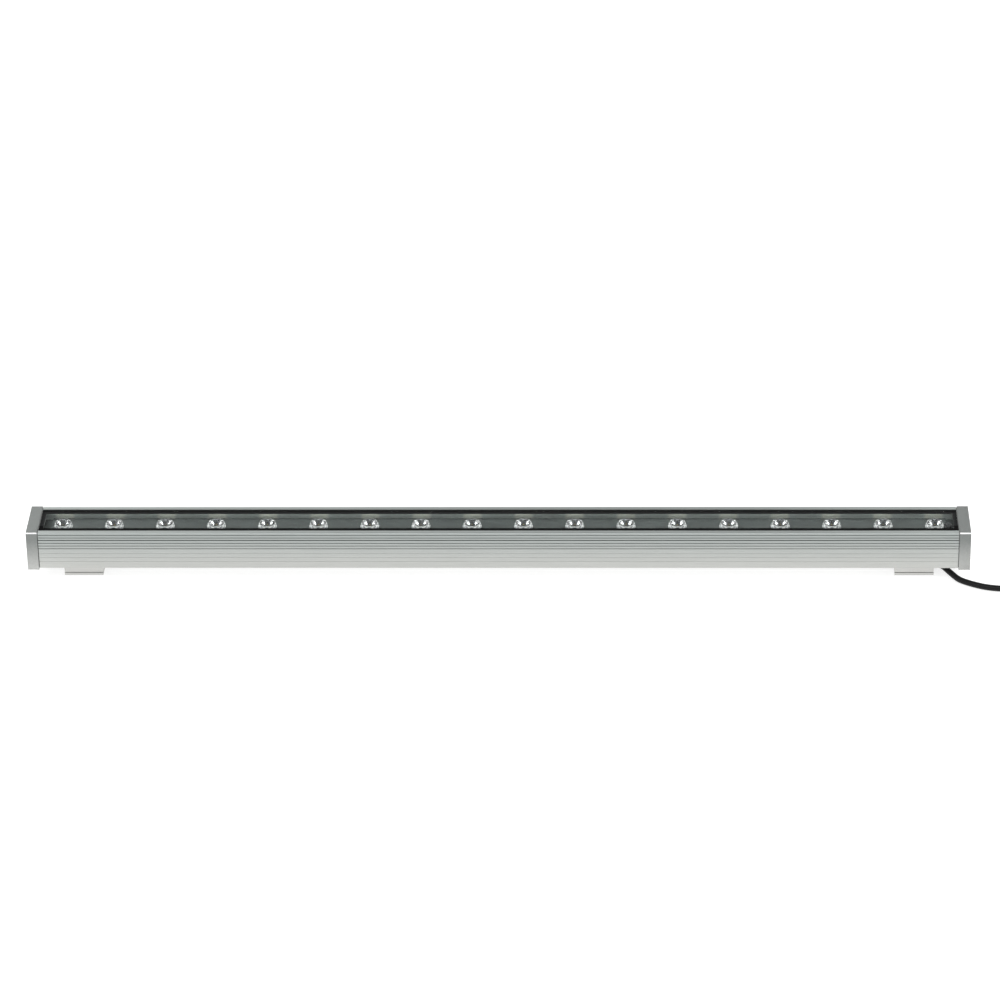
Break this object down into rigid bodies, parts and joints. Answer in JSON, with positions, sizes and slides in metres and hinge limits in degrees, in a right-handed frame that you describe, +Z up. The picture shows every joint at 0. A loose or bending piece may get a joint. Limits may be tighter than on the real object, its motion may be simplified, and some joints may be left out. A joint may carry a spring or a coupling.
{
  "type": "led strip batten",
  "caption": "Slim extruded LED batten with a row of lenses behind a flat glass, grooved sides, square end caps, two hinged sliding feet and a black supply lead.",
  "frame": {"origin": "on the mounting surface, under the middle of the batten", "axes": "+X along the batten towards the end with the supply lead, +Y towards the hinges at the back, +Z up through the glass"},
  "size_m": [1.2282, 0.0873, 0.058],
  "materials": {
    "anodised_aluminium": "satin anodised extrusion with fine lengthwise drawing lines",
    "cast_aluminium": "fine bead-blasted casting",
    "bracket_aluminium": "satin anodised",
    "stainless": "turned stainless fasteners",
    "clear_glass": "toughened clear glass, polished",
    "lens_clear": "clear moulded optic",
    "metallised_cup": "vacuum-metallised plastic",
    "seal_rubber": "matte black silicone",
    "board": "grey solder mask on an aluminium core",
    "phosphor": "silicone phosphor",
    "driver_case": "moulded white plastic",
    "terminal_nylon": "natural nylon",
    "wire_pvc": "smooth wire insulation",
    "brass_parts": "plated contacts",
    "gland_nylon": "moulded black nylon",
    "cable_rubber": "smooth black rubber sheath",
    "tie_fabric": "woven hook and loop tape"
  },
  "bodies": {
    "left_foot": {"foot_left": "bracket_aluminium", "tilt_bolt_left": "stainless", "tilt_nut_left": "stainless", "cable_hank": "cable_rubber", "hank_tie": "tie_fabric", "connector_sleeve": "cable_rubber", "connector_body": "gland_nylon", "connector_ring": "gland_nylon", "connector_pins": "brass_parts"},
    "housing": {"housing_extrusion": "anodised_aluminium", "end_cap_left": "cast_aluminium", "end_cap_right": "cast_aluminium", "cap_gasket_left": "seal_rubber", "cap_gasket_right": "seal_rubber", "cap_screws_left": "stainless", "cap_screws_right": "stainless", "cover_glass": "clear_glass", "glass_seal": "seal_rubber", "led_board": "board", "board_screws": "stainless", "led_emitters": "phosphor", "lens_holders": "metallised_cup", "lenses": "lens_clear", "led_driver": "driver_case", "driver_screws": "stainless", "terminal_block": "terminal_nylon", "supply_wires": "wire_pvc", "led_wires": "wire_pvc", "earth_lug": "brass_parts", "earth_screw": "stainless", "gland_body": "gland_nylon", "gland_washer": "seal_rubber", "gland_locknut": "gland_nylon", "gland_nut": "gland_nylon", "lead_inlet": "cable_rubber", "strain_relief": "cable_rubber", "cable_lead": "cable_rubber", "shoe_left": "bracket_aluminium", "slot_nut_left": "stainless", "clamp_screw_left": "stainless"},
    "right_shoe": {"shoe_right": "bracket_aluminium", "slot_nut_right": "stainless", "clamp_screw_right": "stainless"},
    "right_foot": {"foot_right": "bracket_aluminium", "tilt_bolt_right": "stainless", "tilt_nut_right": "stainless"}
  },
  "joints": [
    {"name": "tilt", "type": "hinge", "parent": "left_foot", "child": "housing", "pos_m": [-0.442, 0.017, 0.0062], "axis": [-1, 0, 0], "range_deg": [0, 50]},
    {"name": "right_bracket_slide", "type": "slide", "parent": "housing", "child": "right_shoe", "axis": [1, 0, 0], "range_m": [-0.78, 0]},
    {"name": "right_tilt", "type": "hinge", "parent": "right_shoe", "child": "right_foot", "pos_m": [0.442, 0.017, 0.0062], "axis": [1, 0, 0], "range_deg": [0, 50]}
  ],
  "couplings": [
    {"joint": "right_tilt", "follows": "tilt", "ratio": 1}
  ]
}
